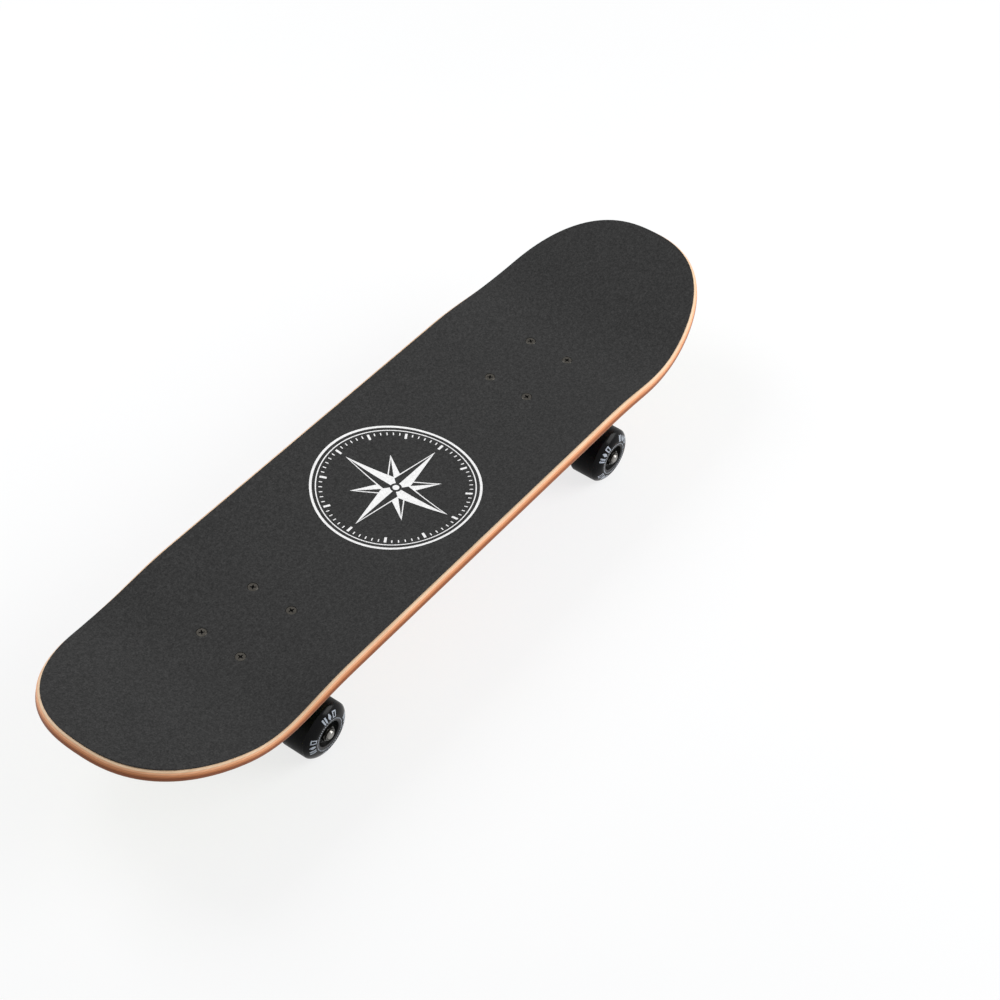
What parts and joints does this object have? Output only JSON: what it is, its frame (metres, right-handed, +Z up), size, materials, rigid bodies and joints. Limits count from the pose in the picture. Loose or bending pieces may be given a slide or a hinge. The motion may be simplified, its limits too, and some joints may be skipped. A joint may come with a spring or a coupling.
{
  "type": "double kick skateboard",
  "caption": "Skateboard with a concave maple deck kicked up at nose and tail, gripped on top, on two steering trucks with pressed bushings and free-rolling wheels.",
  "frame": {"origin": "on the floor that the four wheels stand on, under the middle of the board's box", "axes": "+X along the board towards the nose, +Y to the board's left side, +Z up from the floor through the deck"},
  "size_m": [0.7944, 0.2034, 0.1267],
  "materials": {
    "maple": "clear lacquered maple edge, printed and lacquered underside",
    "grip": "coarse black grit on film",
    "black_metal": "satin black coated casting",
    "dark_steel": "blackened steel",
    "bright_steel": "zinc plated steel",
    "bearing_steel": "steel races with dark shields",
    "black_plastic": "moulded black",
    "black_urethane": "black cast urethane, matte tread and glossy shoulder",
    "pink_urethane": "translucent pink urethane"
  },
  "bodies": {
    "board": {"deck": "maple", "grip_tape": "grip", "front_deck_bolt_1": "dark_steel", "front_deck_bolt_2": "dark_steel", "front_deck_bolt_3": "dark_steel", "front_deck_bolt_4": "dark_steel", "rear_deck_bolt_1": "dark_steel", "rear_deck_bolt_2": "dark_steel", "rear_deck_bolt_3": "dark_steel", "rear_deck_bolt_4": "dark_steel", "front_deck_nut_1": "dark_steel", "front_deck_nut_2": "dark_steel", "front_deck_nut_3": "dark_steel", "front_deck_nut_4": "dark_steel", "rear_deck_nut_1": "dark_steel", "rear_deck_nut_2": "dark_steel", "rear_deck_nut_3": "dark_steel", "rear_deck_nut_4": "dark_steel", "front_baseplate": "black_metal", "rear_baseplate": "black_metal", "front_pivot_cup": "black_plastic", "rear_pivot_cup": "black_plastic", "front_kingpin": "bright_steel", "rear_kingpin": "bright_steel", "front_kingpin_nut": "dark_steel", "rear_kingpin_nut": "dark_steel", "front_road_side_washer": "dark_steel", "rear_road_side_washer": "dark_steel", "front_board_side_washer": "dark_steel", "rear_board_side_washer": "dark_steel", "front_road_side_bushing": "pink_urethane", "rear_road_side_bushing": "pink_urethane", "front_board_side_bushing": "pink_urethane", "rear_board_side_bushing": "pink_urethane"},
    "front_truck_hanger": {"front_hanger": "black_metal", "front_axle": "bright_steel", "front_left_axle_nut": "bright_steel", "front_right_axle_nut": "bright_steel", "front_left_speed_washer": "bright_steel", "front_right_speed_washer": "bright_steel"},
    "rear_truck_hanger": {"rear_hanger": "black_metal", "rear_axle": "bright_steel", "rear_left_axle_nut": "bright_steel", "rear_right_axle_nut": "bright_steel", "rear_left_speed_washer": "bright_steel", "rear_right_speed_washer": "bright_steel"},
    "front_left_wheel_set": {"front_left_wheel": "black_urethane", "front_left_outer_bearing": "bearing_steel", "front_left_inner_bearing": "bearing_steel"},
    "front_right_wheel_set": {"front_right_wheel": "black_urethane", "front_right_outer_bearing": "bearing_steel", "front_right_inner_bearing": "bearing_steel"},
    "rear_left_wheel_set": {"rear_left_wheel": "black_urethane", "rear_left_outer_bearing": "bearing_steel", "rear_left_inner_bearing": "bearing_steel"},
    "rear_right_wheel_set": {"rear_right_wheel": "black_urethane", "rear_right_outer_bearing": "bearing_steel", "rear_right_inner_bearing": "bearing_steel"}
  },
  "joints": [
    {"name": "front_steer", "type": "hinge", "parent": "board", "child": "front_truck_hanger", "pos_m": [0.17988, 0, 0.04023], "axis": [0.8272, 0, 0.562], "range_deg": [-10, 10], "stiffness_Nm_per_rad": 25, "deforming": ["front_board_side_bushing", "front_road_side_bushing"]},
    {"name": "rear_steer", "type": "hinge", "parent": "board", "child": "rear_truck_hanger", "pos_m": [-0.18685, 0, 0.04023], "axis": [0.8272, 0, -0.562], "range_deg": [-10, 10], "stiffness_Nm_per_rad": 25, "deforming": ["rear_board_side_bushing", "rear_road_side_bushing"]},
    {"name": "front_left_wheel_spin", "type": "hinge", "parent": "front_truck_hanger", "child": "front_left_wheel_set", "pos_m": [0.20302, 0.0765, 0.0265], "axis": [0, 1, 0], "continuous": true},
    {"name": "front_right_wheel_spin", "type": "hinge", "parent": "front_truck_hanger", "child": "front_right_wheel_set", "pos_m": [0.20302, -0.0765, 0.0265], "axis": [0, 1, 0], "continuous": true},
    {"name": "rear_left_wheel_spin", "type": "hinge", "parent": "rear_truck_hanger", "child": "rear_left_wheel_set", "pos_m": [-0.20998, 0.0765, 0.0265], "axis": [0, 1, 0], "continuous": true},
    {"name": "rear_right_wheel_spin", "type": "hinge", "parent": "rear_truck_hanger", "child": "rear_right_wheel_set", "pos_m": [-0.20998, -0.0765, 0.0265], "axis": [0, 1, 0], "continuous": true}
  ]
}
